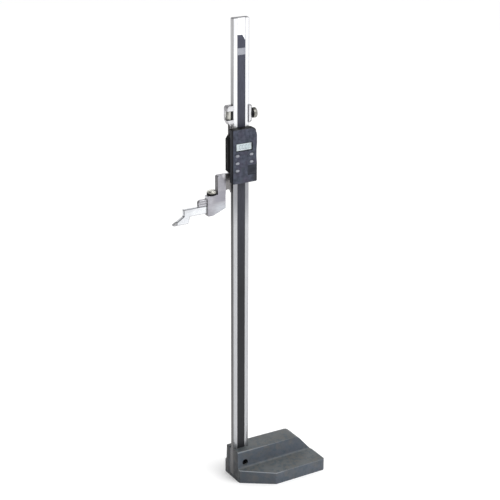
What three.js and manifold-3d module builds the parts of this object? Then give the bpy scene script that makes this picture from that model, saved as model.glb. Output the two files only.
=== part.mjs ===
// Digital height gauge with a 0 to 600 mm range, as separate solids.
// Millimetres. X runs along the base, away from its nose. Y runs to the back. Z is up.
// The origin is on the ground, on the axis of the column.
// Heights of the slider's pieces are taken from the measuring face, under the scriber's tip.
// They are then placed with that face at restHeight.

import * as THREE from 'three';
import { mergeVertices } from 'three/addons/utils/BufferGeometryUtils.js';
import Module from 'manifold-3d';

const wasm = await Module();
wasm.setup();

// Clearances
const slideGap = 0.3;
const fitGap = 0.3;
const snugGap = 0.1;
const cutOver = 1;
const mergeReach = 0.0001;

// Steps round a curve
const cornerSteps = 5;
const pinSteps = 20;
const screwSteps = 14;

// Column and its scale
const columnHeight = 790;
const columnWidth = 28.5;
const columnThickness = 7.5;
const columnCorner = 2;
const restDrop = 314.4;
const scaleWidth = 13.8;
const scaleThickness = 0.5;
const scaleGroove = 0.7;
const scaleLeftMargin = 8;
const scaleTopMargin = 26.5;
const scaleBottomHeight = 45;
const scaleCutWide = 5;
const scaleCutTall = 9;
const labelTall = 10.4;
const labelDrop = 20.4;
const labelThickness = 0.12;

// Base casting
const baseLength = 151;
const baseWidth = 118.6;
const noseWidth = 48;
const flareLength = 52.4;
const plateEdge = 21.6;
const plateFoot = 24.4;
const ridgeHeight = 55.2;
const ridgeFall = 2.2;
const ridgeTopWidth = 37;
const ridgeFootWidth = 39.4;
const ridgeFillet = 4;
const ridgeEdge = 2;
const tailSlope = 30;
const tailRound = 14;
const tailToe = 5.5;
const tailToeRound = 6;
const plateEnd = 20.6;
const tailEnd = 17.7;
const noseCorner = 2.5;
const flareCorner = 6;
const tailCorner = 5;
const reliefDepth = 2;
const reliefLand = 16;
const reliefCorner = 10;

// Socket that holds the column
const socketFloor = 6;
const clampPlateThickness = 4.6;
const clampPlateBelowTop = 1.5;
const clampScrewHeight = 34;
const clampScrewRadius = 3;
const clampHeadRadius = 5;
const clampHeadTall = 6;
const clampHeadSunk = 3;
const clampHeadGap = 0.5;
const clampSocketAcross = 5;
const clampSocketDeep = 3;

// Slider frame, with its heights above the measuring face
const frameLow = 60;
const frameHigh = 136.4;
const hornHigh = 145.4;
const frameFrontWall = 3.35;
const frameBackWall = 2;
const frameLeftWall = 2.25;
const frameRightWall = 2.95;
const frameEdge = 1.6;
const gibThickness = 1.2;
const gibEndMargin = 5;
const gibSideMargin = 0.4;
const readWindowWide = 19;
const readWindowTall = 44;
const readWindowLow = 85.4;

// Jaw arm, part of the frame
const armTop = 70;
const armLeft = -42.4;
const armRight = -28.2;
const armFront = -5;
const armBack = 4.5;
const webFront = 0;
const armCorner = 2.6;
const archCrown = 43.8;
const archFoot = 37.4;
const archLip = 0.85;
const archSteps = 12;

// Scriber holder, the box at the arm's end
const holderLeft = -61.2;
const holderTop = 39.8;
const holderBottomLeft = 9;
const holderBottomLow = 6;
const holderFlatWide = 10.2;
const holderBottomRight = 15.4;
const holderHalfDepth = 5.3;
const holderEdge = 1.4;
const holderCorner = 1.6;
const holderInnerEnd = -41;

// Scriber and what clamps it
const scriberBarTall = 12.4;
const scriberBarLow = 11.4;
const scriberThickness = 6;
const scriberInset = 15;
const scriberBarLeft = -102.2;
const scriberFootRight = -94.4;
const scriberNeckRight = -91.2;
const scriberTip = -121;
const scriberTipRise = 1.6;
const scriberTipEdge = 0.9;
const scriberShoulder = 13;
const carbideLength = 6;
const shoeTall = 10.2;
const shoeLeft = -75.9;
const shoeCorner = 4.5;
const shoeEndInset = 2;
const knobX = -51.3;
const knobRadius = 7.7;
const knobTall = 4.2;
const knobRimTall = 1.8;
const knobCrown = 1.6;
const knobTeeth = 36;
const knobToothDepth = 0.45;
const knobEdge = 0.4;
const knobDimpleRadius = 2.6;
const knobDimpleDepth = 0.9;
const knobScrewRadius = 2.5;
const knobWasherRadius = 7.6;
const knobWasherTall = 3.2;

// Display housing
const housingLeft = -22.5;
const housingRight = 21.5;
const housingLow = 55.8;
const housingHigh = 143.7;
const housingDepth = 10.6;
const rearShellDepth = 6.6;
const frontTopCorner = 13;
const rearTopCorner = 7.5;
const hoodDepth = 2;
const housingLeftCorner = 2.2;
const housingLowCorner = 2.2;
const housingWaist = 0.7;
const housingWaistLow = 96.4;
const housingWaistHigh = 107.6;
const housingWaistRun = 10;
const housingFaceEdge = 1.6;
const shellWall = 1.5;
const shellFace = 1.8;
const trayFloor = 1.2;
const lcdLeft = -15.7;
const lcdRight = 11.4;
const lcdLow = 109.4;
const lcdHigh = 120.4;
const lensLedge = 1.2;
const lensThickness = 0.9;
const lensSunk = 0.2;
const lcdPanelEdge = 2.6;
const lcdPanelThickness = 2.6;
const boardThickness = 1.6;
const boardMargin = 1.9;
const zebraThickness = 2;
const keyMatThickness = 0.8;
const keyMatMargin = 5;
const buttonRows = [101.7, 89.7, 77.7];
const buttonLeftX = -14.5;
const buttonRightX = 10.7;
const buttonWide = 6.4;
const buttonTall = 3.8;
const buttonProud = 0.7;
const buttonFlange = 0.8;
const buttonFlangeThickness = 0.8;
const buttonTravel = 0.4;
const buttonEdge = 0.3;
const cellRadius = 5.8;
const cellTall = 5.1;
const cellX = 12.4;
const cellZ = 76.3;
const cellEdge = 0.4;
const lidLeft = 4.2;
const lidLow = 69.8;
const lidHigh = 82.8;
const lidThickness = 1;
const lidTongue = 1;
const lidTongueThickness = 0.7;
const lidGripPitch = 1.6;
const lidGripDepth = 0.35;
const lidGripWide = 0.7;
const lidGripMargin = 3;
const contactThickness = 0.3;
const contactRadius = 3;
const contactTabWide = 4;
const readGap = 0.3;
const shellScrewRadius = 1;
const shellScrewHead = 1.9;
const shellScrewHeadTall = 0.9;
const shellScrewBite = 3.6;
const shellScrewInset = 3;

// Side grip, which also anchors the fine screw
const gripLeft = -24.9;
const gripBack = 1.8;
const gripLow = 70;
const gripHigh = 136.4;
const gripShoulderTop = -18.3;
const gripShoulderLow = -19;
const gripFaceLow = 75.6;
const gripFaceHigh = 126.9;
const gripScrewHeights = [84.4, 112.4];
const gripScrewRadius = 1.25;
const gripScrewHead = 2.3;
const gripScrewHeadTall = 1.6;
const gripScrewSunk = 0.3;

// Fine adjustment
const fineX = -20.5;
const fineY = -1.2;
const fineScrewRadius = 1.5;
const fineScrewTop = 178.4;
const fineScrewFoot = 121.4;
const nutRadius = 3.7;
const nutLow = 157.4;
const nutHigh = 170.7;
const nutTeeth = 26;
const nutToothDepth = 0.4;
const nutEdge = 0.7;
const nutBore = 0.2;

// Fine-adjust carriage
const carriageLow = 149.2;
const carriageHigh = 179.2;
const carriageLeft = -25.4;
const carriageLeftCorner = 4;
const carriageRight = 17.9;
const carriageBackWall = 1.6;
const carriageLip = 1.8;
const carriageLipWide = 1.1;
const carriageRightLow = 150.7;
const carriageRightHigh = 177.6;
const carriageRightCorner = 3;
const lugCorner = 1;
const lugTaper = 4.3;
const lugTaperTall = 7.3;
const windowEndGap = 0.5;

// Lock screws
const lockZ = 162.5;
const lockHeadRadius = 8.2;
const lockHeadLong = 6;
const lockDome = 1.6;
const lockTeeth = 32;
const lockToothDepth = 0.45;
const lockEdge = 0.5;
const lockCollarRadius = 6.9;
const lockCollarLong = 3.8;
const lockShankRadius = 2.5;
const lockPadThickness = 1.5;
const sliderLockZ = 101.4;
const sliderLockHead = 5.4;
const sliderLockHeadLong = 3.6;
const sliderLockTeeth = 24;
const sliderLockShank = 2;
const gibScrewHeights = [76.4, 126.4];
const gibScrewRadius = 1.5;

// Places worked out from the sizes above
const restHeight = columnHeight - restDrop;
const columnHalf = columnWidth / 2;
const columnHalfThick = columnThickness / 2;
const noseX = -columnHalf;
const tailX = noseX + baseLength;
const stripLeft = scaleLeftMargin - columnHalf;
const stripRight = stripLeft + scaleWidth;
const grooveFloor = scaleGroove - columnHalfThick;
const stripFace = grooveFloor - scaleThickness;
const pocketHalfThick = columnHalfThick + slideGap;
const pocketLeft = -columnHalf - slideGap;
const pocketRight = columnHalf + gibThickness + 2 * slideGap;
const frameLeft = pocketLeft - frameLeftWall;
const frameRight = pocketRight + frameRightWall;
const frameFront = -pocketHalfThick - frameFrontWall;
const frameBack = pocketHalfThick + frameBackWall;
const housingFace = frameFront - housingDepth;
const splitPlane = frameFront - rearShellDepth;
const trayInside = frameFront - trayFloor;
const boardFront = trayInside - boardThickness;
const wallInside = housingFace + shellFace;
const scriberBarTop = scriberBarLow + scriberBarTall;
const scriberRight = holderLeft + scriberInset;
const shoeBottom = scriberBarTop + fitGap;
const shoeTop = shoeBottom + shoeTall;
const holderSlotHalf = scriberThickness / 2 + fitGap;

// Materials
function finish(color, roughness, metalness) {
  return new THREE.MeshStandardMaterial({ color, roughness, metalness });
}

const materials = {
  castPaint: finish(0x5c656e, 0.6, 0.1),
  column: finish(0xd6d8da, 0.3, 0.9),
  satin: finish(0xb4b4ba, 0.42, 0.85),
  bright: finish(0xdcdcdf, 0.25, 0.95),
  nickel: finish(0xc9c8be, 0.3, 0.9),
  darkSteel: finish(0x2a2a2d, 0.5, 0.7),
  brass: finish(0xb08d4c, 0.4, 0.8),
  scale: finish(0x42464f, 0.45, 0.1),
  label: finish(0xa9abb5, 0.5, 0.1),
  slate: finish(0x3a3f4a, 0.5, 0),
  black: finish(0x17181b, 0.55, 0),
  key: finish(0xc9ccd2, 0.5, 0),
  glass: finish(0xdfe8ec, 0.1, 0),
  liquidCrystal: finish(0xb9c4c6, 0.3, 0),
  board: finish(0x1f5a38, 0.5, 0),
  rubber: finish(0x35363a, 0.8, 0),
  carbide: finish(0x77777b, 0.35, 0.8),
};

// A closed geometry becomes a solid that can be joined and cut.
function solidOf(geometry) {
  const bare = geometry.clone();
  bare.deleteAttribute('normal');
  bare.deleteAttribute('uv');
  const merged = mergeVertices(bare, mergeReach);
  const vertProperties = new Float32Array(merged.attributes.position.array);
  const triVerts = new Uint32Array(merged.index.array);
  return new wasm.Manifold(new wasm.Mesh({ numProp: 3, vertProperties, triVerts }));
}

function joined(solids) {
  return solids.reduce((whole, piece) => whole.add(piece));
}

function cut(whole, cutters) {
  return cutters.reduce((left, cutter) => left.subtract(cutter), whole);
}

// Corners are [across, up, radius]. A radius is limited by the sides beside it.
function rounded(corners) {
  const points = [];
  corners.forEach(([x, y, radius = 0], i) => {
    const here = new THREE.Vector2(x, y);
    const before = corners[(i + corners.length - 1) % corners.length];
    const after = corners[(i + 1) % corners.length];
    const back = new THREE.Vector2(before[0], before[1]).sub(here);
    const on = new THREE.Vector2(after[0], after[1]).sub(here);
    if (radius === 0) {
      points.push(here);
      return;
    }
    const room = Math.min(back.length(), on.length()) / 2;
    back.normalize();
    on.normalize();
    const half = Math.acos(THREE.MathUtils.clamp(back.dot(on), -1, 1)) / 2;
    const run = Math.min(radius / Math.tan(half), room);
    const start = here.clone().addScaledVector(back, run);
    const end = here.clone().addScaledVector(on, run);
    const turn = Math.PI - 2 * half;
    const steps = Math.max(1, Math.ceil(cornerSteps * turn / (Math.PI / 2)));
    const middle = start.clone().add(end).divideScalar(2);
    const centre = here.clone().add(middle.sub(here).multiplyScalar(1 / Math.cos(half) ** 2));
    const first = start.clone().sub(centre);
    const cross = first.cross(end.clone().sub(centre));
    for (let step = 0; step <= steps; step += 1) {
      const angle = Math.sign(cross) * turn * step / steps;
      points.push(first.clone().rotateAround(new THREE.Vector2(), angle).add(centre));
    }
  });
  return points;
}

// The solid of an outline between two planes, with its two rims rounded off by edge.
function slab(points, from, to, edge = 0) {
  const settings = { depth: to - from - 2 * edge, bevelEnabled: edge > 0, steps: 1 };
  if (edge > 0) {
    settings.bevelThickness = edge;
    settings.bevelSize = edge;
    settings.bevelOffset = -edge;
    settings.bevelSegments = 2;
  }
  const geometry = new THREE.ExtrudeGeometry(new THREE.Shape(points), settings);
  geometry.translate(0, 0, from + edge);
  return geometry;
}

const alongX = new THREE.Matrix4().makeBasis(
  new THREE.Vector3(0, 1, 0),
  new THREE.Vector3(0, 0, 1),
  new THREE.Vector3(1, 0, 0),
);
const alongY = new THREE.Matrix4().makeBasis(
  new THREE.Vector3(1, 0, 0),
  new THREE.Vector3(0, 0, 1),
  new THREE.Vector3(0, -1, 0),
);

// Outlines in (y, z), (x, z) and (x, y), run along the third axis.
function prismX(points, from, to, edge) {
  return solidOf(slab(points, from, to, edge).applyMatrix4(alongX));
}

function prismY(points, from, to, edge) {
  return solidOf(slab(points, -to, -from, edge).applyMatrix4(alongY));
}

function prismZ(points, from, to, edge) {
  return solidOf(slab(points, from, to, edge));
}

function box(low, high) {
  const geometry = new THREE.BoxGeometry(high[0] - low[0], high[1] - low[1], high[2] - low[2]);
  geometry.translate((low[0] + high[0]) / 2, (low[1] + high[1]) / 2, (low[2] + high[2]) / 2);
  return solidOf(geometry);
}

function circle(u, v, radius, count = pinSteps) {
  return Array.from({ length: count }, (_, i) => {
    const angle = (i + 0.5) * 2 * Math.PI / count;
    return new THREE.Vector2(u + radius * Math.cos(angle), v + radius * Math.sin(angle));
  });
}

// A knurled rim: straight flutes round a circle.
function fluted(u, v, radius, depth, teeth) {
  return Array.from({ length: 2 * teeth }, (_, i) => {
    const angle = i * Math.PI / teeth;
    const reach = i % 2 === 0 ? radius : radius - depth;
    return new THREE.Vector2(u + reach * Math.cos(angle), v + reach * Math.sin(angle));
  });
}

// A stadium: an oblong with half-round ends, wider than it is tall.
function oblong(u, v, wide, tall) {
  const left = u - wide / 2;
  const right = u + wide / 2;
  const low = v - tall / 2;
  const high = v + tall / 2;
  const end = tall / 2;
  return rounded([[left, low, end], [right, low, end], [right, high, end], [left, high, end]]);
}

const group = new THREE.Group();

function place(name, solid, material, lift = 0) {
  const mesh = solid.getMesh();
  const geometry = new THREE.BufferGeometry();
  const positions = new Float32Array(mesh.vertProperties);
  geometry.setAttribute('position', new THREE.BufferAttribute(positions, 3));
  geometry.setIndex(new THREE.BufferAttribute(new Uint32Array(mesh.triVerts), 1));
  geometry.translate(0, 0, lift);
  geometry.computeVertexNormals();
  const piece = new THREE.Mesh(geometry, material);
  piece.name = name;
  group.add(piece);
}

function placeOnSlider(name, solid, material) {
  place(name, solid, material, restHeight);
}

// Base: a winged plate with a ridge along its middle, and a socket at the nose
function baseCasting() {
  const wide = baseWidth / 2;
  const nose = noseWidth / 2;
  const flareX = noseX + flareLength;
  const top = ridgeHeight + cutOver;
  const plan = prismZ(rounded([
    [noseX, -nose, noseCorner],
    [flareX, -wide, flareCorner],
    [tailX, -wide, tailCorner],
    [tailX, wide, tailCorner],
    [flareX, wide, flareCorner],
    [noseX, nose, noseCorner],
  ]), 0, top);
  const section = prismX(rounded([
    [-wide - cutOver, 0],
    [wide + cutOver, 0],
    [wide + cutOver, plateEdge],
    [ridgeFootWidth / 2, plateFoot, ridgeFillet],
    [ridgeTopWidth / 2, ridgeHeight, ridgeEdge],
    [-ridgeTopWidth / 2, ridgeHeight, ridgeEdge],
    [-ridgeFootWidth / 2, plateFoot, ridgeFillet],
    [-wide - cutOver, plateEdge],
  ]), noseX - cutOver, tailX + cutOver);
  const side = prismY(rounded([
    [noseX, 0],
    [tailX, 0],
    [tailX, plateEnd],
    [tailX - tailToe, plateFoot, tailToeRound],
    [tailX - tailSlope, ridgeHeight - ridgeFall, tailRound],
    [noseX, ridgeHeight],
  ]), -wide - cutOver, wide + cutOver);
  const tailDip = prismY([
    new THREE.Vector2(tailX - tailToe, plateFoot),
    new THREE.Vector2(tailX, tailEnd),
    new THREE.Vector2(tailX + cutOver, tailEnd),
    new THREE.Vector2(tailX + cutOver, top),
  ], -ridgeTopWidth / 2, ridgeTopWidth / 2);
  const inner = wide - reliefLand;
  const relief = prismZ(rounded([
    [columnHalf + reliefLand, -nose + reliefLand / 2, reliefCorner / 2],
    [flareX, -inner, reliefCorner],
    [tailX - reliefLand, -inner, reliefCorner],
    [tailX - reliefLand, inner, reliefCorner],
    [flareX, inner, reliefCorner],
    [columnHalf + reliefLand, nose - reliefLand / 2, reliefCorner / 2],
  ]), -cutOver, reliefDepth);
  const socketBack = columnHalfThick + clampPlateThickness + 2 * fitGap;
  const socket = box(
    [noseX - cutOver, -columnHalfThick - fitGap, socketFloor],
    [columnHalf + fitGap, socketBack, top],
  );
  const seat = -ridgeFootWidth / 2 + clampHeadSunk + clampHeadTall;
  const ridgeOut = -ridgeFootWidth / 2 - cutOver;
  const head = prismY(circle(0, clampScrewHeight, clampHeadRadius + clampHeadGap), ridgeOut, seat);
  const shank = prismY(circle(0, clampScrewHeight, clampScrewRadius + fitGap), seat - cutOver, 0);
  const body = plan.intersect(section).intersect(side);
  place('base_casting', cut(body, [tailDip, relief, socket, head, shank]), materials.castPaint);

  const plateFront = columnHalfThick;
  const plateBack = plateFront + clampPlateThickness;
  const plate = box(
    [noseX, plateFront, socketFloor],
    [columnHalf, plateBack, ridgeHeight - clampPlateBelowTop],
  );
  const thread = prismY(
    circle(0, clampScrewHeight, clampScrewRadius + fitGap),
    plateFront - cutOver,
    plateBack + cutOver,
  );
  place('column_clamp_plate', cut(plate, [thread]), materials.satin);

  const screwHead = prismY(
    circle(0, clampScrewHeight, clampHeadRadius),
    seat - clampHeadTall,
    seat,
    knobEdge,
  );
  const screwShank = prismY(
    circle(0, clampScrewHeight, clampScrewRadius, screwSteps),
    seat - cutOver,
    plateBack,
  );
  const hexSocket = prismY(
    circle(0, clampScrewHeight, clampSocketAcross / 2, 6),
    seat - clampHeadTall - cutOver,
    seat - clampHeadTall + clampSocketDeep,
  );
  place('column_clamp_screw', cut(joined([screwHead, screwShank]), [hexSocket]), materials.darkSteel);
}

// Column: a ground bar with a shallow groove for the capacitive scale
function column() {
  const bar = prismY(rounded([
    [-columnHalf, socketFloor],
    [columnHalf, socketFloor],
    [columnHalf, columnHeight, columnCorner],
    [-columnHalf, columnHeight, columnCorner],
  ]), -columnHalfThick, columnHalfThick);
  const groove = box(
    [stripLeft - snugGap, -columnHalfThick - cutOver, scaleBottomHeight - snugGap],
    [stripRight + snugGap, grooveFloor, columnHeight + cutOver],
  );
  const hole = prismY(
    circle(0, clampScrewHeight, clampScrewRadius + fitGap),
    -columnHalfThick - cutOver,
    columnHalfThick + cutOver,
  );
  place('column', cut(bar, [groove, hole]), materials.column);

  const stripTop = columnHeight - scaleTopMargin;
  const strip = prismY([
    new THREE.Vector2(stripLeft, scaleBottomHeight),
    new THREE.Vector2(stripRight, scaleBottomHeight),
    new THREE.Vector2(stripRight, stripTop - scaleCutTall),
    new THREE.Vector2(stripRight - scaleCutWide, stripTop),
    new THREE.Vector2(stripLeft, stripTop),
  ], stripFace, grooveFloor);
  place('scale_strip', strip, materials.scale);

  const labelTop = stripTop - labelDrop;
  const label = box(
    [stripLeft, stripFace - labelThickness, labelTop - labelTall],
    [stripRight, stripFace, labelTop],
  );
  place('scale_label', label, materials.label);
}

// Slider frame: a tube round the column, with the jaw arm and the scriber holder in one piece
function sliderFrame() {
  const tube = prismZ(rounded([
    [frameLeft, frameFront],
    [frameRight, frameFront],
    [frameRight, frameBack, frameEdge],
    [frameLeft, frameBack, frameEdge],
  ]), frameLow, frameHigh);
  const horn = prismZ(rounded([
    [frameLeft, frameFront + hoodDepth + fitGap],
    [pocketLeft, frameFront + hoodDepth + fitGap],
    [pocketLeft, frameBack],
    [frameLeft, frameBack, frameEdge],
  ]), frameHigh - cutOver, hornHigh);
  const archMid = (armRight + pocketLeft - archLip) / 2;
  const archHalf = (pocketLeft - archLip - armRight) / 2;
  const arch = Array.from({ length: archSteps + 1 }, (_, i) => {
    const angle = Math.PI * i / archSteps;
    const rise = (archCrown - archFoot) * Math.sin(angle);
    return new THREE.Vector2(archMid - archHalf * Math.cos(angle), archFoot + rise);
  });
  const armOutline = [
    ...rounded([
      [pocketLeft - frameLeftWall / 2, armTop],
      [armLeft, armTop, armCorner],
      [armLeft, holderTop - cutOver],
      [armRight, holderTop - cutOver],
    ]),
    ...arch,
    new THREE.Vector2(pocketLeft, archFoot),
    new THREE.Vector2(pocketLeft, frameLow + cutOver),
    new THREE.Vector2(pocketLeft - frameLeftWall / 2, frameLow + cutOver),
  ];
  const webRelief = box(
    [armRight, armFront - cutOver, archFoot - cutOver],
    [pocketLeft + cutOver, webFront, armTop + cutOver],
  );
  const arm = cut(prismY(armOutline, armFront, armBack), [webRelief]);
  const holder = prismY(rounded([
    [holderLeft, holderTop, holderCorner],
    [holderLeft, holderBottomLeft, holderCorner],
    [holderLeft + holderCorner, holderBottomLow, holderCorner],
    [holderLeft + holderFlatWide, holderBottomLow, holderFlatWide],
    [armRight, holderBottomRight, holderCorner],
    [armRight, holderTop, holderCorner],
  ]), -holderHalfDepth, holderHalfDepth, holderEdge);
  const pocket = box(
    [pocketLeft, -pocketHalfThick, frameLow - cutOver],
    [pocketRight, pocketHalfThick, frameHigh + cutOver],
  );
  const readMid = (stripLeft + stripRight) / 2;
  const readWindow = box(
    [readMid - readWindowWide / 2, frameFront - cutOver, readWindowLow],
    [readMid + readWindowWide / 2, 0, readWindowLow + readWindowTall],
  );
  const slot = box(
    [holderLeft - cutOver, -holderSlotHalf, scriberBarLow - fitGap],
    [holderInnerEnd, holderSlotHalf, shoeTop + fitGap],
  );
  const knobHole = prismZ(
    circle(knobX, 0, knobScrewRadius + fitGap),
    shoeTop,
    holderTop + cutOver,
  );
  const lockHole = prismX(
    circle(0, sliderLockZ, sliderLockShank + fitGap),
    pocketRight - cutOver,
    frameRight + cutOver,
  );
  const gibHoles = gibScrewHeights.map((z) => prismX(
    circle(0, z, gibScrewRadius + fitGap),
    pocketRight - cutOver,
    frameRight + cutOver,
  ));
  const gripHoles = gripScrewHeights.map((z) => prismX(
    circle(fineY, z, gripScrewRadius + fitGap),
    frameLeft - cutOver,
    pocketLeft + cutOver,
  ));
  const shellHoles = shellScrewPlaces().map(([x, z]) => prismY(
    circle(x, z, shellScrewRadius + snugGap, screwSteps),
    frameFront - cutOver,
    -pocketHalfThick + cutOver,
  ));
  const holes = [slot, knobHole, lockHole, ...gibHoles, ...gripHoles, ...shellHoles];
  const body = cut(joined([tube, horn, arm, holder]), [pocket, readWindow, ...holes]);
  placeOnSlider('slider_frame', body, materials.satin);
}

// The four screws that hold the rear shell on the frame
function shellScrewPlaces() {
  const left = pocketLeft + shellScrewInset;
  const right = columnHalf - shellScrewInset;
  const low = frameLow + shellScrewInset;
  const high = frameHigh - shellScrewInset;
  return [[left, low], [right, low], [left, high], [right, high]];
}

// Gib strip at the column's right edge, with its two screws and the slider's lock screw
function gibAndLock() {
  const gibLeft = columnHalf + slideGap;
  const gibHalf = columnHalfThick - gibSideMargin;
  const gib = box(
    [gibLeft, -gibHalf, frameLow + gibEndMargin],
    [gibLeft + gibThickness, gibHalf, frameHigh - gibEndMargin],
  );
  placeOnSlider('gib_strip', gib, materials.brass);
  const tipX = pocketRight;
  gibScrewHeights.forEach((z, i) => {
    const screw = prismX(circle(0, z, gibScrewRadius, screwSteps), tipX, frameRight);
    const slit = box(
      [frameRight - gibScrewRadius / 2, -gibScrewRadius - cutOver, z - fitGap],
      [frameRight + cutOver, gibScrewRadius + cutOver, z + fitGap],
    );
    placeOnSlider(`gib_screw_${i + 1}`, cut(screw, [slit]), materials.darkSteel);
  });
  const headX = frameRight + fitGap;
  const shank = prismX(circle(0, sliderLockZ, sliderLockShank, screwSteps), tipX, headX + cutOver);
  const rim = fluted(0, sliderLockZ, sliderLockHead, lockToothDepth, sliderLockTeeth);
  const head = prismX(rim, headX, headX + sliderLockHeadLong, lockEdge);
  placeOnSlider('slider_lock_screw', joined([shank, head]), materials.nickel);
}

// Side grip: a black block on the frame's left side that the fine screw is fixed in
function sideGrip() {
  const block = prismY(rounded([
    [frameLeft, gripHigh],
    [gripShoulderTop, gripHigh, fitGap],
    [gripLeft, gripFaceHigh, cutOver],
    [gripLeft, gripFaceLow, cutOver],
    [gripShoulderLow, gripLow, fitGap],
    [frameLeft, gripLow],
  ]), frameFront, gripBack);
  const bore = prismZ(
    circle(fineX, fineY, fineScrewRadius + snugGap),
    fineScrewFoot - fitGap,
    gripHigh + cutOver,
  );
  const holes = gripScrewHeights.flatMap((z) => [
    prismX(circle(fineY, z, gripScrewRadius + fitGap), gripLeft - cutOver, frameLeft + cutOver),
    prismX(
      circle(fineY, z, gripScrewHead + fitGap),
      gripLeft - cutOver,
      gripLeft + gripScrewHeadTall + gripScrewSunk,
    ),
  ]);
  placeOnSlider('side_grip', cut(block, [bore, ...holes]), materials.black);
  gripScrewHeights.forEach((z, i) => {
    const seat = gripLeft + gripScrewHeadTall + gripScrewSunk;
    const head = prismX(circle(fineY, z, gripScrewHead), gripLeft + gripScrewSunk, seat);
    const shank = prismX(circle(fineY, z, gripScrewRadius, screwSteps), seat - cutOver / 2, pocketLeft);
    const socket = prismX(
      circle(fineY, z, gripScrewHead / 2, 6),
      gripLeft,
      gripLeft + gripScrewSunk + gripScrewHeadTall / 2,
    );
    placeOnSlider(`grip_screw_${i + 1}`, cut(joined([head, shank]), [socket]), materials.darkSteel);
  });
  const rod = prismZ(
    circle(fineX, fineY, fineScrewRadius, screwSteps),
    fineScrewFoot,
    fineScrewTop,
    fitGap,
  );
  placeOnSlider('fine_screw', rod, materials.darkSteel);
}

// The housing's outline, drawn in by inset. Its upper right corner is the roundest.
function housingOutline(inset, topCorner) {
  const left = housingLeft + inset;
  const right = housingRight - inset;
  const low = housingLow + inset;
  const high = housingHigh - inset;
  const top = Math.max(topCorner - inset, 0);
  const upperLeft = Math.max(housingLeftCorner - inset, 0);
  const foot = Math.max(housingLowCorner - inset, 0);
  const waistLow = housingWaistLow;
  const waistHigh = housingWaistHigh;
  const run = housingWaistRun;
  return rounded([
    [left, low, foot],
    [right, low, foot],
    [right, waistLow - run, run],
    [right - housingWaist, waistLow, run],
    [right - housingWaist, waistHigh, run],
    [right, waistHigh + run, run],
    [right, high, top],
    [left, high, upperLeft],
  ]);
}

const buttonPlaces = [
  ['button_upper_left', buttonLeftX, buttonRows[0]],
  ['button_middle_left', buttonLeftX, buttonRows[1]],
  ['button_lower_left', buttonLeftX, buttonRows[2]],
  ['button_upper_right', buttonRightX, buttonRows[0]],
  ['button_middle_right', buttonRightX, buttonRows[1]],
];

// The whole form of the front shell, with its face's edge rounded off
function frontForm() {
  const outline = housingOutline(0, frontTopCorner);
  return prismY(outline, housingFace, splitPlane + housingFaceEdge, housingFaceEdge);
}

// Display housing: a front shell, and a rear shell with a hood over the frame's top end
function housing() {
  const front = frontForm().intersect(box(
    [housingLeft - cutOver, housingFace - cutOver, housingLow - cutOver],
    [housingRight + cutOver, splitPlane, housingHigh + cutOver],
  ));
  const hollow = prismY(housingOutline(shellWall, frontTopCorner), wallInside, splitPlane + cutOver);
  const window = box(
    [lcdLeft, housingFace - cutOver, lcdLow],
    [lcdRight, wallInside + cutOver, lcdHigh],
  );
  const lensSeat = box(
    [lcdLeft - lensLedge, housingFace - cutOver, lcdLow - lensLedge],
    [lcdRight + lensLedge, housingFace + lensSunk + lensThickness, lcdHigh + lensLedge],
  );
  const buttonHoles = buttonPlaces.map(([, x, z]) => prismY(
    oblong(x, z, buttonWide + 2 * fitGap, buttonTall + 2 * fitGap),
    housingFace - cutOver,
    wallInside + cutOver,
  ));
  const lidBed = box(
    [lidLeft - fitGap, housingFace - cutOver, lidLow - fitGap],
    [housingRight + cutOver, housingFace + lidThickness + fitGap, lidHigh + fitGap],
  );
  const tongueFace = housingFace + lidThickness - lidTongueThickness;
  const lidTrack = box(
    [lidLeft - fitGap, tongueFace - fitGap, lidLow - lidTongue - fitGap],
    [housingRight + cutOver, housingFace + lidThickness + fitGap, lidHigh + lidTongue + fitGap],
  );
  const cellBay = prismY(circle(cellX, cellZ, cellRadius + fitGap), housingFace, wallInside + cutOver);
  const cuts = [hollow, window, lensSeat, ...buttonHoles, lidBed, lidTrack, cellBay];
  placeOnSlider('housing_front', cut(front, cuts), materials.slate);

  const rearOutline = housingOutline(0, rearTopCorner);
  const tray = prismY(rearOutline, splitPlane, frameFront);
  const hoodBack = frameFront + hoodDepth;
  const hood = prismY(rearOutline, frameFront - trayFloor / 2, hoodBack).intersect(box(
    [housingLeft - cutOver, trayInside, frameHigh + fitGap],
    [housingRight + cutOver, hoodBack + cutOver, housingHigh + cutOver],
  ));
  const trayOutline = housingOutline(shellWall, rearTopCorner);
  const trayHollow = prismY(trayOutline, splitPlane - cutOver, trayInside);
  const readMid = (stripLeft + stripRight) / 2;
  const readOpening = box(
    [readMid - readWindowWide / 2, trayInside - cutOver, readWindowLow],
    [readMid + readWindowWide / 2, frameFront + cutOver, readWindowLow + readWindowTall],
  );
  const screwHoles = shellScrewPlaces().map(([x, z]) => prismY(
    circle(x, z, shellScrewRadius + snugGap, screwSteps),
    trayInside - cutOver,
    frameFront + cutOver,
  ));
  const shell = cut(joined([tray, hood]), [trayHollow, readOpening, ...screwHoles]);
  placeOnSlider('housing_rear', shell, materials.black);

  shellScrewPlaces().forEach(([x, z], i) => {
    const headFace = trayInside - shellScrewHeadTall;
    const head = prismY(circle(x, z, shellScrewHead, screwSteps), headFace, trayInside);
    const shankEnd = trayInside + shellScrewBite;
    const shank = prismY(circle(x, z, shellScrewRadius, screwSteps), trayInside - snugGap, shankEnd);
    const slit = box(
      [x - shellScrewHead - cutOver, headFace - cutOver, z - snugGap],
      [x + shellScrewHead + cutOver, headFace + shellScrewHeadTall / 2, z + snugGap],
    );
    placeOnSlider(`shell_screw_${i + 1}`, cut(joined([head, shank]), [slit]), materials.nickel);
  });
}

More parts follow.
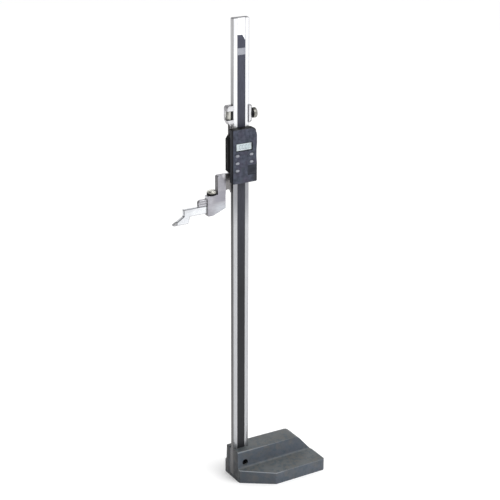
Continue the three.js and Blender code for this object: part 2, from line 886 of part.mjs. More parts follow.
// What the housing holds: board, reading head, display, keys and cell
function electronics() {
  const notch = shellScrewHead + fitGap;
  const board = prismY(housingOutline(boardMargin, rearTopCorner), boardFront, trayInside);
  const notches = shellScrewPlaces().map(([x, z]) => prismY(
    circle(x, z, notch, screwSteps),
    boardFront - cutOver,
    trayInside + cutOver,
  ));
  placeOnSlider('circuit_board', cut(board, notches), materials.board);

  const readMid = (stripLeft + stripRight) / 2;
  const head = box(
    [readMid - readWindowWide / 2 + fitGap, trayInside, readWindowLow + fitGap],
    [
      readMid + readWindowWide / 2 - fitGap,
      -columnHalfThick - readGap,
      readWindowLow + readWindowTall - fitGap,
    ],
  );
  placeOnSlider('reading_head', head, materials.board);

  const lens = prismY(rounded([
    [lcdLeft - lensLedge + snugGap, lcdLow - lensLedge + snugGap],
    [lcdRight + lensLedge - snugGap, lcdLow - lensLedge + snugGap],
    [lcdRight + lensLedge - snugGap, lcdHigh + lensLedge - snugGap],
    [lcdLeft - lensLedge + snugGap, lcdHigh + lensLedge - snugGap],
  ]), housingFace + lensSunk, housingFace + lensSunk + lensThickness);
  placeOnSlider('display_window', lens, materials.glass);

  const panelBack = wallInside + lcdPanelThickness;
  const panelLow = lcdLow - lcdPanelEdge;
  const panelHigh = lcdHigh + lcdPanelEdge;
  const panel = box(
    [lcdLeft - lcdPanelEdge, wallInside, panelLow],
    [lcdRight + lcdPanelEdge, panelBack, panelHigh],
  );
  placeOnSlider('display_panel', panel, materials.liquidCrystal);
  const zebra = box(
    [lcdLeft, panelBack, panelHigh - zebraThickness],
    [lcdRight, boardFront, panelHigh],
  );
  placeOnSlider('display_connector', zebra, materials.rubber);

  const matTop = buttonRows[0] + keyMatMargin / 2;
  const matLow = buttonRows[2] - keyMatMargin;
  const matStep = buttonRows[1] - keyMatMargin;
  const mat = prismY([
    new THREE.Vector2(buttonLeftX - keyMatMargin / 2, matLow),
    new THREE.Vector2(lidLeft - keyMatMargin, matLow),
    new THREE.Vector2(lidLeft - keyMatMargin, matStep),
    new THREE.Vector2(buttonRightX + keyMatMargin, matStep),
    new THREE.Vector2(buttonRightX + keyMatMargin, matTop),
    new THREE.Vector2(buttonLeftX - keyMatMargin / 2, matTop),
  ], boardFront - keyMatThickness, boardFront);
  placeOnSlider('key_mat', mat, materials.rubber);

  const keyBack = boardFront - keyMatThickness - buttonTravel - fitGap;
  const flangeFace = wallInside + fitGap;
  buttonPlaces.forEach(([name, x, z]) => {
    const cap = prismY(
      oblong(x, z, buttonWide, buttonTall),
      housingFace - buttonProud,
      flangeFace + buttonFlangeThickness,
      buttonEdge,
    );
    const flange = prismY(
      oblong(x, z, buttonWide + 2 * buttonFlange, buttonTall + 2 * buttonFlange),
      flangeFace,
      flangeFace + buttonFlangeThickness,
    );
    const stem = prismY(circle(x, z, buttonTall / 3, screwSteps), flangeFace, keyBack);
    placeOnSlider(name, joined([cap, flange, stem]), materials.key);
  });

  const lidBack = housingFace + lidThickness;
  const cellFace = lidBack + 2 * fitGap;
  const cell = prismY(
    circle(cellX, cellZ, cellRadius),
    cellFace,
    cellFace + cellTall,
    cellEdge,
  );
  placeOnSlider('battery', cell, materials.bright);
  const springFace = boardFront - contactThickness;
  const spring = prismY(circle(cellX, cellZ, contactRadius), springFace, boardFront);
  placeOnSlider('battery_contact_back', spring, materials.brass);
  const sideX = cellX - cellRadius - fitGap;
  const sideContact = box(
    [sideX - contactThickness, wallInside + fitGap, cellZ - contactTabWide / 2],
    [sideX, boardFront, cellZ + contactTabWide / 2],
  );
  placeOnSlider('battery_contact_side', sideContact, materials.brass);

  const lid = prismY(rounded([
    [lidLeft, lidLow],
    [housingRight, lidLow],
    [housingRight, lidHigh],
    [lidLeft, lidHigh],
  ]), housingFace, lidBack);
  const tongue = box(
    [lidLeft, lidBack - lidTongueThickness, lidLow - lidTongue],
    [housingRight, lidBack, lidHigh + lidTongue],
  );
  const clear = lidGripMargin;
  const count = Math.floor((housingRight - lidLeft - 2 * clear) / lidGripPitch);
  const grooves = Array.from({ length: count }, (_, i) => box(
    [lidLeft + clear + i * lidGripPitch, housingFace - cutOver, lidLow + clear],
    [lidLeft + clear + i * lidGripPitch + lidGripWide, housingFace + lidGripDepth, lidHigh - clear],
  ));
  const lidForm = joined([lid, tongue]).intersect(frontForm());
  placeOnSlider('battery_lid', cut(lidForm, grooves), materials.black);
}

// Scriber, its carbide tip, and the shoe, washer and knob that clamp it
function scriber() {
  const half = scriberThickness / 2;
  const shoulderX = scriberBarLeft + fitGap;
  const edge = scriberTip + carbideLength;
  const share = (edge - scriberTip) / (shoulderX - scriberTip);
  const edgeTop = scriberTipRise + share * (scriberShoulder - scriberTipRise);
  const bar = prismY([
    new THREE.Vector2(edge + fitGap, 0),
    new THREE.Vector2(scriberFootRight, 0),
    new THREE.Vector2(scriberNeckRight, scriberBarLow),
    new THREE.Vector2(scriberRight, scriberBarLow),
    new THREE.Vector2(scriberRight, scriberBarTop),
    new THREE.Vector2(scriberBarLeft, scriberBarTop),
    new THREE.Vector2(shoulderX, scriberShoulder),
    new THREE.Vector2(edge + fitGap, edgeTop),
  ], -half, half);
  placeOnSlider('scriber', bar, materials.bright);
  const tip = prismY([
    new THREE.Vector2(scriberTip, scriberTipRise - scriberTipEdge),
    new THREE.Vector2(scriberTip + scriberTipEdge, 0),
    new THREE.Vector2(edge, 0),
    new THREE.Vector2(edge, edgeTop),
    new THREE.Vector2(scriberTip, scriberTipRise),
  ], -half, half);
  placeOnSlider('scriber_tip', tip, materials.carbide);

  const shoe = prismY(rounded([
    [shoeLeft, shoeBottom],
    [holderInnerEnd - shoeEndInset, shoeBottom],
    [holderInnerEnd - shoeEndInset, shoeTop],
    [shoeLeft, shoeTop, shoeCorner],
  ]), -half, half);
  placeOnSlider('clamp_shoe', shoe, materials.satin);

  const washerLow = holderTop + snugGap;
  const washerHigh = washerLow + knobWasherTall;
  const washer = cut(
    prismZ(circle(knobX, 0, knobWasherRadius), washerLow, washerHigh),
    [prismZ(circle(knobX, 0, knobScrewRadius + fitGap), washerLow - cutOver, washerHigh + cutOver)],
  );
  placeOnSlider('clamp_washer', washer, materials.darkSteel);
  const knobLow = washerHigh + snugGap;
  const rim = fluted(knobX, 0, knobRadius, knobToothDepth, knobTeeth);
  const knobRim = prismZ(rim, knobLow, knobLow + knobRimTall, knobEdge);
  const crown = prismZ(
    circle(knobX, 0, knobRadius - 2 * knobToothDepth, 2 * screwSteps),
    knobLow + knobEdge,
    knobLow + knobTall,
    knobCrown,
  );
  const shank = prismZ(
    circle(knobX, 0, knobScrewRadius, screwSteps),
    shoeTop + fitGap,
    knobLow + knobEdge,
  );
  const dimple = prismZ(
    circle(knobX, 0, knobDimpleRadius),
    knobLow + knobTall - knobDimpleDepth,
    knobLow + knobTall + cutOver,
  );
  placeOnSlider('clamp_knob', cut(joined([knobRim, crown, shank]), [dimple]), materials.nickel);
}

// Fine-adjust carriage: it locks on the column, and its nut moves the slider by the fine screw
function carriage() {
  const back = pocketHalfThick + carriageBackWall;
  const front = -pocketHalfThick - carriageLip;
  const pocketX = columnHalf + slideGap;
  const left = prismY(rounded([
    [-pocketX, carriageHigh],
    [carriageLeft, carriageHigh, carriageLeftCorner],
    [carriageLeft, carriageLow + lugTaperTall, lugTaper],
    [carriageLeft + lugTaper, carriageLow, lugCorner],
    [-pocketX, carriageLow],
  ]), front, back);
  const right = prismY(rounded([
    [pocketX, carriageRightLow],
    [carriageRight, carriageRightLow, cutOver],
    [carriageRight, carriageRightHigh, carriageRightCorner],
    [pocketX, carriageRightHigh],
  ]), front, back);
  const web = box(
    [-pocketX - cutOver, pocketHalfThick, carriageLow],
    [pocketX + cutOver, back, carriageRightHigh],
  );
  const lipLeft = box(
    [-pocketX - cutOver, front, carriageLow],
    [-pocketX + carriageLipWide, -pocketHalfThick, carriageRightHigh],
  );
  const lipRight = box(
    [pocketX - carriageLipWide, front, carriageLow],
    [pocketX + cutOver, -pocketHalfThick, carriageRightHigh],
  );
  const windowBack = fineY + nutRadius + fitGap;
  const windowLow = nutLow - windowEndGap;
  const windowHigh = nutHigh + windowEndGap;
  const window = box(
    [carriageLeft - cutOver, front - cutOver, windowLow],
    [fineX + nutRadius + windowEndGap, windowBack, windowHigh],
  );
  const lipGap = box(
    [carriageLeft - cutOver, front - cutOver, windowLow],
    [-pocketX + carriageLipWide + cutOver, -pocketHalfThick, windowHigh],
  );
  const bore = prismZ(
    circle(fineX, fineY, fineScrewRadius + fitGap),
    carriageLow - cutOver,
    carriageHigh + cutOver,
  );
  const lockBore = prismX(
    circle(0, lockZ, lockShankRadius + fitGap),
    pocketX - cutOver,
    carriageRight + cutOver,
  );
  const body = cut(joined([left, right, web, lipLeft, lipRight]), [window, lipGap, bore, lockBore]);
  placeOnSlider('fine_carriage', body, materials.satin);

  const rim = fluted(fineX, fineY, nutRadius, nutToothDepth, nutTeeth);
  const nutHole = prismZ(
    circle(fineX, fineY, fineScrewRadius + nutBore),
    nutLow - cutOver,
    nutHigh + cutOver,
  );
  placeOnSlider('fine_nut', cut(prismZ(rim, nutLow, nutHigh, nutEdge), [nutHole]), materials.nickel);

  const padLeft = columnHalf + snugGap;
  const pad = prismX(circle(0, lockZ, lockShankRadius), padLeft, padLeft + lockPadThickness);
  placeOnSlider('lock_pad', pad, materials.brass);
  const collarX = carriageRight + snugGap;
  const collarEnd = collarX + lockCollarLong;
  const collar = cut(
    prismX(circle(0, lockZ, lockCollarRadius, 2 * screwSteps), collarX, collarEnd),
    [prismX(circle(0, lockZ, lockShankRadius + fitGap), collarX - cutOver, collarEnd + cutOver)],
  );
  placeOnSlider('lock_collar', collar, materials.darkSteel);
  const headX = collarEnd + snugGap;
  const headRim = fluted(0, lockZ, lockHeadRadius, lockToothDepth, lockTeeth);
  const head = prismX(headRim, headX, headX + lockHeadLong, lockEdge);
  const dome = prismX(
    circle(0, lockZ, lockHeadRadius - 2 * lockDome, 2 * screwSteps),
    headX + lockEdge,
    headX + lockHeadLong + lockDome,
    lockEdge,
  );
  const shank = prismX(
    circle(0, lockZ, lockShankRadius, screwSteps),
    padLeft + lockPadThickness + snugGap,
    headX + lockEdge,
  );
  placeOnSlider('carriage_lock_screw', joined([head, dome, shank]), materials.nickel);
}

baseCasting();
column();
sliderFrame();
gibAndLock();
sideGrip();
housing();
electronics();
scriber();
carriage();

export default group;
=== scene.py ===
# Looks of a digital height gauge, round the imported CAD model. Places are in metres.
# X runs along the base, away from its nose. Y runs to the back. Z is up.

import math

import bmesh
import bpy
from mathutils import Matrix, Vector


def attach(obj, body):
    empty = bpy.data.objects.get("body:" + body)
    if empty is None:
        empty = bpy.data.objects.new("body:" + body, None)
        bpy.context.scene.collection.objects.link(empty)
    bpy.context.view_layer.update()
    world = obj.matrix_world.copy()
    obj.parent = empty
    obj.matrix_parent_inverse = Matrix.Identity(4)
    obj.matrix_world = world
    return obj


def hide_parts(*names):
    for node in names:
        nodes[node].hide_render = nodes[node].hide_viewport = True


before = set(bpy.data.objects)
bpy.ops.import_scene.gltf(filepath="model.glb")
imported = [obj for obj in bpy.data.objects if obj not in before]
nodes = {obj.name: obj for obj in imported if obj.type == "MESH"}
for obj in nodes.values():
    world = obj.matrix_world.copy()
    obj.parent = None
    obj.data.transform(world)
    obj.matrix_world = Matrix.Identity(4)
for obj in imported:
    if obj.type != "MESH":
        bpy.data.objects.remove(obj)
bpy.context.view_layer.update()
MM = 0.001


# The camera has the photograph's own perspective, solved from the column and the base
def add_camera():
    turn = math.radians(30.96)
    pitch = math.radians(20.61)
    roll = math.radians(0.224)
    right = Vector((math.cos(turn), -math.sin(turn), 0))
    ahead = Vector((math.sin(turn), math.cos(turn), 0))
    up = Vector((0, 0, 1))
    view = ahead * math.cos(pitch) - up * math.sin(pitch)
    top = ahead * math.sin(pitch) + up * math.cos(pitch)
    across = right * math.cos(roll) + top * math.sin(roll)
    above = top * math.cos(roll) - right * math.sin(roll)
    data = bpy.data.cameras.new("camera")
    data.sensor_width = 36
    data.lens = 95.98
    data.clip_end = 50
    camera = bpy.data.objects.new("camera", data)
    matrix = Matrix((across, above, -view)).transposed().to_4x4()
    matrix.translation = Vector((-1.0208, -1.734, 1.170))
    camera.matrix_world = matrix
    bpy.context.collection.objects.link(camera)
    bpy.context.scene.camera = camera


# Both ends of a node's box
def ends(node):
    corners = [nodes[node].matrix_world @ Vector(corner) for corner in nodes[node].bound_box]
    low = Vector(min(corner[axis] for corner in corners) for axis in range(3))
    high = Vector(max(corner[axis] for corner in corners) for axis in range(3))
    return low, high


# Linear value of an 8-bit colour, scaled by a share and lifted
def srgb(colour, share=1, lift=0):
    def linear(value):
        value = (value * share + lift) / 255
        return value / 12.92 if value <= 0.04045 else ((value + 0.055) / 1.055) ** 2.4

    return tuple(linear(value) for value in colour)


# Every material made here, by its name
MATERIALS = {}


# Node helpers for one material. Colours given as tuples are linear.
class Shader:
    def __init__(self, name, metallic=0.0):
        self.material = bpy.data.materials.new(name)
        MATERIALS[name] = self.material
        self.material.use_nodes = True
        self.tree = self.material.node_tree
        self.shader = self.tree.nodes["Principled BSDF"]
        self.set("Metallic", metallic)
        self.coords = self.tree.nodes.new("ShaderNodeTexCoord").outputs["Object"]

    # One value for the whole material
    def set(self, name, value):
        self.shader.inputs[name].default_value = value

    def node(self, kind, **values):
        node = self.tree.nodes.new(kind)
        for key, value in values.items():
            setattr(node, key, value)
        return node

    def link(self, start, end):
        self.tree.links.new(start, end)

    def parts(self, vector):
        parts = self.node("ShaderNodeSeparateXYZ")
        self.link(vector, parts.inputs["Vector"])
        return parts.outputs

    # A stretch holds how much faster the noise changes along X, Y and Z
    def noise(self, scale, detail, stretch=(1, 1, 1)):
        mapping = self.node("ShaderNodeMapping")
        mapping.inputs["Scale"].default_value = stretch
        self.link(self.coords, mapping.inputs["Vector"])
        noise = self.node("ShaderNodeTexNoise")
        noise.inputs["Scale"].default_value = scale
        noise.inputs["Detail"].default_value = detail
        self.link(mapping.outputs["Vector"], noise.inputs["Vector"])
        return noise.outputs["Fac"]

    # Remap a value, so that start becomes low and end becomes high
    def spread(self, value, low, high, start=0.3, end=0.7):
        remap = self.node("ShaderNodeMapRange")
        remap.inputs["From Min"].default_value = start
        remap.inputs["From Max"].default_value = end
        remap.inputs["To Min"].default_value = low
        remap.inputs["To Max"].default_value = high
        self.link(value, remap.inputs["Value"])
        return remap.outputs["Result"]

    def mix(self, factor, first, second):
        mix = self.node("ShaderNodeMix", data_type="RGBA")
        self.link(factor, mix.inputs["Factor"])
        for value, socket in ((first, mix.inputs["A"]), (second, mix.inputs["B"])):
            if isinstance(value, tuple):
                socket.default_value = (*value, 1)
            else:
                self.link(value, socket)
        return mix.outputs["Result"]

    def times(self, first, *others):
        for other in others:
            product = self.node("ShaderNodeMath", operation="MULTIPLY")
            self.link(first, product.inputs[0])
            self.link(other, product.inputs[1])
            first = product.outputs["Value"]
        return first

    # Masks: 0 at the first place and 1 at the second
    def along(self, axis, start, end):
        return self.spread(self.parts(self.coords)[axis], 0, 1, start, end)

    def facing(self, axis, start, end):
        normal = self.node("ShaderNodeNewGeometry").outputs["Normal"]
        return self.spread(self.parts(normal)[axis], 0, 1, start, end)

    # A round spot: 1 inside the inner radius and 0 outside the outer one
    def near(self, point, inner, outer):
        distance = self.node("ShaderNodeVectorMath", operation="DISTANCE")
        self.link(self.coords, distance.inputs[0])
        distance.inputs[1].default_value = point
        return self.spread(distance.outputs["Value"], 1, 0, inner, outer)

    # A tone that drifts between a dark and a light one
    def clouds(self, scale, detail, dark, light):
        return self.mix(self.spread(self.noise(scale, detail), 0, 1), srgb(dark), srgb(light))

    # Colour, with a texture that varies the gloss and gives the relief
    def finish(self, colour, texture, smooth, rough, depth, strength):
        self.link(colour, self.shader.inputs["Base Color"])
        self.link(self.spread(texture, smooth, rough), self.shader.inputs["Roughness"])
        bump = self.node("ShaderNodeBump")
        bump.inputs["Distance"].default_value = depth
        bump.inputs["Strength"].default_value = strength
        self.link(texture, bump.inputs["Height"])
        self.link(bump.outputs["Normal"], self.shader.inputs["Normal"])


# Finishing lines of metal, as stretches of its noise
LEVEL_LINES = (300, 300, 1400)
BROAD_LINES = (120, 120, 900)
UPRIGHT_LINES = (1500, 1500, 60)
BAR_LINES = (160, 700, 1500)
TIP_LINES = (900, 300, 1500)
EVEN_GRAIN = (900, 900, 900)

LINE_DEPTH = 0.02 * MM
PLASTIC_GRAIN = 2600
PLASTIC_DEPTH = 0.03 * MM
FILM_GRAIN = 900
GLASS_GRAIN = 1600
GLASS_DEPTH = 0.004 * MM


# Metal with fine finishing lines, a little tone and gloss variation
def metal(name, dark, light, rough, stretch):
    shader = Shader(name, 1.0)
    lines = shader.noise(1, 4, stretch)
    tone = shader.clouds(38, 3, dark, light)
    lined = shader.mix(shader.spread(lines, 0, 0.3), tone, srgb(dark, 0.8))
    shader.finish(lined, lines, rough * 0.8, rough * 1.25, LINE_DEPTH, 0.5)


# Plastic or film with a fine grain
def plastic(name, dark, light, rough, gloss, grain=PLASTIC_GRAIN, depth=PLASTIC_DEPTH):
    shader = Shader(name)
    shader.set("Specular IOR Level", gloss)
    texture = shader.noise(grain, 2)
    tone = shader.clouds(60, 3, dark, light)
    grained = shader.mix(shader.spread(texture, 0, 0.4), tone, srgb(dark, 0.8))
    shader.finish(grained, texture, rough * 0.85, rough * 1.15, depth, 0.6)


# Slate plastic with a fine grain, mottled in cool and warm tints, darker at the corner by the lid
def housing_slate():
    lid_corner = (0.0215, -0.018, 0.538)
    shader = Shader("housing_slate")
    shader.set("Specular IOR Level", 0.25)
    cloud = shader.spread(shader.noise(170, 5), 0, 1, 0.38, 0.62)
    tone = shader.mix(cloud, srgb((42, 46, 58)), srgb((64, 68, 82)))
    for scale, tint in ((95, (48, 62, 64)), (70, (66, 56, 74))):
        patches = shader.spread(shader.noise(scale, 3), 0, 0.35, 0.5, 0.7)
        tone = shader.mix(patches, tone, srgb(tint))
    tone = shader.mix(shader.near(lid_corner, 3 * MM, 12 * MM), tone, srgb((30, 32, 38)))
    grain = shader.noise(PLASTIC_GRAIN, 2)
    shader.finish(tone, grain, 0.42, 0.58, PLASTIC_DEPTH, 0.6)


# A painted highlight on the walls of the base's wing: a light line along their top rim. It starts
# beside the ridge, and fades to a quarter towards the base's far end.
def wing_rim_highlight(shader):
    fall = 0.0684
    rim_low, rim_high = 23.9 * MM, 24.7 * MM
    inner, outer = 21.5 * MM, 22.5 * MM
    fade_start, fade_end = 40 * MM, 60 * MM
    place = shader.parts(shader.coords)
    out = shader.node("ShaderNodeMath", operation="ABSOLUTE")
    shader.link(place["Y"], out.inputs[0])
    # The wing falls towards its sides, so its rim has one level after this sum
    level = shader.node("ShaderNodeMath", operation="MULTIPLY_ADD")
    shader.link(out.outputs["Value"], level.inputs[0])
    level.inputs[1].default_value = fall
    shader.link(place["Z"], level.inputs[2])
    return shader.times(
        shader.spread(level.outputs["Value"], 0, 1, rim_low, rim_high),
        shader.spread(out.outputs["Value"], 0, 1, inner, outer),
        shader.spread(place["X"], 1, 0.25, fade_start, fade_end),
        shader.facing("Z", 0.9, 0.6),
    )


# Rough grey paint with warm and cool patches, greener on top. The tops are painted lighter than
# the sides, as lit from above, and faces looking towards -X, as the nose's end, are painted darker
# as shade
def cast_paint(name, lift):
    shader = Shader(name)
    cloud = shader.spread(shader.noise(26, 4), 0, 1)

    def lifted(*colour):
        return srgb(colour, 1, lift)

    top = shader.mix(cloud, lifted(68, 72, 74), lifted(84, 88, 90))
    side = shader.mix(cloud, lifted(58, 65, 74), lifted(72, 79, 89))
    # Painted shade: faces looking towards -X, as the nose's end, turn dark
    side = shader.mix(shader.facing("X", -0.9, -0.4), lifted(26, 29, 34), side)
    # Painted light: upward faces take the lighter top tone
    tone = shader.mix(shader.facing("Z", 0.3, 0.9), side, top)
    warm = shader.spread(shader.noise(75, 4), 0, 0.4, 0.45, 0.65)
    tone = shader.mix(warm, tone, lifted(84, 80, 74))
    cool = shader.spread(shader.noise(160, 4), 0, 0.5, 0.5, 0.64)
    tone = shader.mix(cool, tone, lifted(46, 62, 72))
    # Painted highlight: a lighter line along the wing's top rim
    tone = shader.mix(wing_rim_highlight(shader), tone, lifted(128, 133, 139))
    shader.finish(tone, shader.noise(900, 5), 0.45, 0.68, 0.18 * MM, 0.55)


# Ground steel, low in tone below start and high above end: this rise is painted light, the
# reflections growing brighter upwards. A darker band at mid height is painted shade, below the
# housing. The rims are masks for painted shade lines in one more tone.
def column_face(name, low, high, band_shade, rough, start, end, rims=None, rim=None):
    band_low, band_high = 0.455, 0.565
    rise, drop = 48 * MM, 25 * MM
    shader = Shader(name, 1.0)
    lines = shader.noise(1, 4, UPRIGHT_LINES)
    # Painted light: the tone rises from low to high with height
    tone = shader.mix(shader.along("Z", start, end), srgb(low), srgb(high))
    band = shader.times(
        shader.along("Z", band_low, band_low + rise),
        shader.along("Z", band_high, band_high - drop),
    )
    # Painted shade: a darker band at mid height, below the housing
    tone = shader.mix(band, tone, srgb(band_shade))
    if rims:
        # Painted shade lines along the front's rims
        for mask in rims(shader):
            tone = shader.mix(mask, tone, srgb(rim))
    tone = shader.mix(shader.spread(shader.noise(14, 3), 0, 0.12), tone, srgb(low, 0.8))
    tone = shader.mix(shader.spread(lines, 0, 0.16), tone, srgb(low, 0.7))
    shader.finish(tone, lines, rough * 0.8, rough * 1.2, 0.01 * MM, 0.5)


# The front's rim lines, painted shade: left, right, along the groove's left edge and at the top
def column_rim_shades(shader):
    groove = ends("scale_strip")[0].x
    top = ends("column")[1].z
    left, right = -13.6 * MM, 14.0 * MM
    yield shader.along("X", left + 1.0 * MM, left)
    yield shader.along("X", right - 0.7 * MM, right)
    yield shader.times(
        shader.along("X", groove - 0.9 * MM, groove - 0.3 * MM),
        shader.along("X", groove + 0.3 * MM, groove),
    )
    yield shader.along("Z", top - 1.5 * MM, top - 0.7 * MM)


# The sides of the scriber's holder catch more light above its slot
def holder_side():
    slot_top = 0.5095
    shader = Shader("holder_side", 1.0)
    lines = shader.noise(1, 4, LEVEL_LINES)
    above = shader.along("Z", slot_top, slot_top + 2 * MM)
    tone = shader.mix(above, srgb((128, 127, 130)), srgb((222, 222, 226)))
    tone = shader.mix(shader.spread(lines, 0, 0.2), tone, srgb((92, 92, 95)))
    shader.finish(tone, lines, 0.38, 0.54, LINE_DEPTH, 0.5)


# The frame's front: darker beside the knob, with painted highlights at the holder's foot and
# beside the housing
def frame_front():
    band_low, band_high = 0.5055, 0.5225
    foot_high = 0.504
    knob_left, knob_right = -52 * MM, -44 * MM
    foot_left, foot_right = -56 * MM, -40 * MM
    housing_highlight_point = (-0.0275, -0.0053, 0.5465)
    shader = Shader("frame_front", 1.0)
    lines = shader.noise(1, 4, BROAD_LINES)
    tone = shader.clouds(70, 3, (148, 147, 153), (176, 175, 181))
    band = shader.times(
        shader.along("Z", band_high, band_high - 4 * MM),
        shader.along("Z", band_low - 3 * MM, band_low),
        shader.along("X", knob_left, knob_right),
    )
    tone = shader.mix(band, tone, srgb((150, 149, 157)))
    # Painted highlight at the holder's foot
    foot = shader.times(
        shader.along("Z", foot_high, foot_high - 9 * MM),
        shader.along("X", foot_left, foot_right),
    )
    tone = shader.mix(foot, tone, srgb((188, 191, 197)))
    # Painted highlight beside the housing, lifting its shadow
    spot = shader.near(housing_highlight_point, 4 * MM, 8.5 * MM)
    tone = shader.mix(spot, tone, srgb((240, 239, 243)))
    tone = shader.mix(shader.spread(lines, 0, 0.25), tone, srgb((124, 123, 128)))
    shader.finish(tone, lines, 0.34, 0.52, LINE_DEPTH, 0.5)


# The carriage's front has grey lines round its plate at the right: painted shade along the plate's
# edges
def carriage_front():
    plate_low, plate_high = 0.6263, 0.6532
    plate_left = ends("column")[1].x
    plate_right = ends("fine_carriage")[1].x
    shader = Shader("carriage_front", 1.0)
    lines = shader.noise(1, 4, LEVEL_LINES)
    tone = shader.clouds(38, 3, (206, 206, 209), (226, 226, 229))
    beside = shader.along("X", plate_left, plate_left + 0.3 * MM)
    for rim in (
        shader.along("X", plate_right - 1.5 * MM, plate_right - 0.9 * MM),
        shader.times(beside, shader.along("Z", plate_high - 1.9 * MM, plate_high - 1.2 * MM)),
        shader.times(beside, shader.along("Z", plate_low + 1.9 * MM, plate_low + 1.2 * MM)),
    ):
        # Painted shade along the plate's rims
        tone = shader.mix(rim, tone, srgb((112, 112, 114)))
    tone = shader.mix(shader.spread(lines, 0, 0.3), tone, srgb((165, 165, 167)))
    shader.finish(tone, lines, 0.27, 0.42, LINE_DEPTH, 0.5)


# The clamp knob's crown, painted brighter than its nickel rim: a painted highlight
def knob_crown_highlight():
    shader = Shader("knob_crown_highlight", 1.0)
    tone = shader.clouds(200, 3, (206, 205, 198), (228, 227, 220))
    shader.finish(tone, shader.noise(900, 4), 0.24, 0.38, LINE_DEPTH, 0.5)


# The scale's film is bluer and lighter towards the top, a rise of painted light
def scale_film():
    start, end = 0.34, 0.76
    shader = Shader("scale_film")
    shader.set("Specular IOR Level", 0.3)
    fine = shader.noise(700, 3, (1, 1, 0.15))
    # Painted light: the film grows lighter and bluer with height
    tone = shader.mix(shader.along("Z", start, end), srgb((26, 27, 31)), srgb((68, 70, 85)))
    tone = shader.mix(shader.spread(fine, 0, 0.35), tone, srgb((22, 22, 26)))
    shader.finish(tone, fine, 0.34, 0.5, LINE_DEPTH, 0.4)


def clear_window():
    shader = Shader("window_clear")
    shader.set("Roughness", 0.04)
    shader.set("Transmission Weight", 1.0)
    shader.set("IOR", 1.2)
    cloud = shader.spread(shader.noise(90, 2), 0, 1)
    tint = shader.mix(cloud, (0.94, 0.97, 0.98), (0.98, 0.99, 1.0))
    shader.link(tint, shader.shader.inputs["Base Color"])


# Dark tone, light tone, roughness and finishing lines
METALS = {
    # The column's rounded edges, darker: painted shade
    "column_edge_shade": ((104, 104, 108), (124, 124, 128), 0.4, UPRIGHT_LINES),
    "column_top": ((88, 88, 92), (108, 108, 112), 0.42, EVEN_GRAIN),
    "satin_steel": ((154, 153, 159), (180, 179, 184), 0.42, LEVEL_LINES),
    # Darker side and web tones of the satin steel: painted shade
    "satin_side_shade": ((116, 115, 118), (130, 129, 132), 0.46, LEVEL_LINES),
    "satin_web_shade": ((132, 130, 130), (146, 144, 144), 0.5, LEVEL_LINES),
    # Lighter edge tone of the satin steel: a painted highlight
    "satin_edge_highlight": ((208, 208, 212), (226, 226, 230), 0.36, LEVEL_LINES),
    "plate_steel": ((98, 98, 100), (112, 112, 114), 0.5, LEVEL_LINES),
    # The carriage's window back, lighter: painted light
    "bay_painted_light": ((238, 238, 240), (248, 248, 250), 0.42, LEVEL_LINES),
    # The carriage's sides, top and rounded edges, darker than its front: painted shade
    "carriage_side_shade": ((164, 163, 166), (184, 183, 186), 0.42, LEVEL_LINES),
    "carriage_top_shade": ((138, 137, 140), (156, 155, 158), 0.42, LEVEL_LINES),
    "carriage_edge_shade": ((122, 121, 124), (140, 139, 142), 0.42, LEVEL_LINES),
    "shadow_steel": ((30, 30, 32), (44, 44, 46), 0.6, EVEN_GRAIN),
    "bright_steel": ((212, 214, 218), (236, 238, 241), 0.3, BAR_LINES),
    # The scriber's rounded edges, darker: painted shade
    "bright_edge_shade": ((84, 84, 88), (108, 108, 112), 0.34, BAR_LINES),
    "nickel": ((186, 184, 176), (206, 204, 196), 0.3, EVEN_GRAIN),
    # Painted shade on one flank of each flute
    "nickel_flute_shade": ((112, 111, 106), (128, 127, 122), 0.36, EVEN_GRAIN),
    "nut_nickel": ((208, 207, 200), (226, 225, 218), 0.34, EVEN_GRAIN),
    # Painted shade on one flank of each flute
    "nut_flute_shade": ((150, 149, 144), (166, 165, 160), 0.36, EVEN_GRAIN),
    "knurl": ((150, 149, 143), (172, 171, 165), 0.32, EVEN_GRAIN),
    # Painted shade on one flank of each flute, and on the knob's notch walls
    "knurl_flute_shade": ((56, 55, 52), (72, 71, 68), 0.4, EVEN_GRAIN),
    "screw_steel": ((72, 71, 70), (88, 87, 86), 0.4, EVEN_GRAIN),
    # Black oxide steel; on the lock screw's head it is painted shade on the inner face
    "dark_steel": ((24, 24, 26), (38, 38, 40), 0.46, EVEN_GRAIN),
    "brass": ((176, 140, 76), (196, 160, 92), 0.36, EVEN_GRAIN),
    "carbide": ((158, 158, 160), (176, 176, 178), 0.34, TIP_LINES),
}

# Dark tone, light tone, roughness and gloss, then the grain's scale and depth where it isn't plain
PLASTICS = {
    "label_film": ((134, 136, 146), (156, 158, 167), 0.5, 0.5, FILM_GRAIN),
    # The front shell's walls, near black: painted shade
    "housing_wall_shade": ((20, 21, 26), (28, 29, 34), 0.55, 0.15),
    # The front shell's rounded edges, lighter: a painted highlight
    "housing_edge_highlight": ((62, 66, 78), (70, 74, 86), 0.42, 0.3),
    "black_plastic": ((12, 12, 14), (20, 20, 22), 0.6, 0.1),
    # The rear shell's walls, lighter than its black: painted light
    "rear_wall_light": ((50, 51, 55), (60, 61, 65), 0.6, 0.12),
    "lid_plastic": ((38, 41, 50), (46, 49, 58), 0.52, 0.2),
    "key_cap": ((128, 131, 140), (146, 149, 158), 0.42, 0.5),
    "liquid_crystal": ((226, 234, 236), (234, 241, 243), 0.3, 0.5, GLASS_GRAIN, GLASS_DEPTH),
    "segment_ink": ((150, 162, 168), (164, 176, 182), 0.4, 0.5, GLASS_GRAIN, GLASS_DEPTH),
    "solder_mask": ((26, 84, 52), (34, 96, 60), 0.34, 0.5),
    "rubber_dark": ((46, 47, 50), (56, 57, 60), 0.72, 0.5),
}


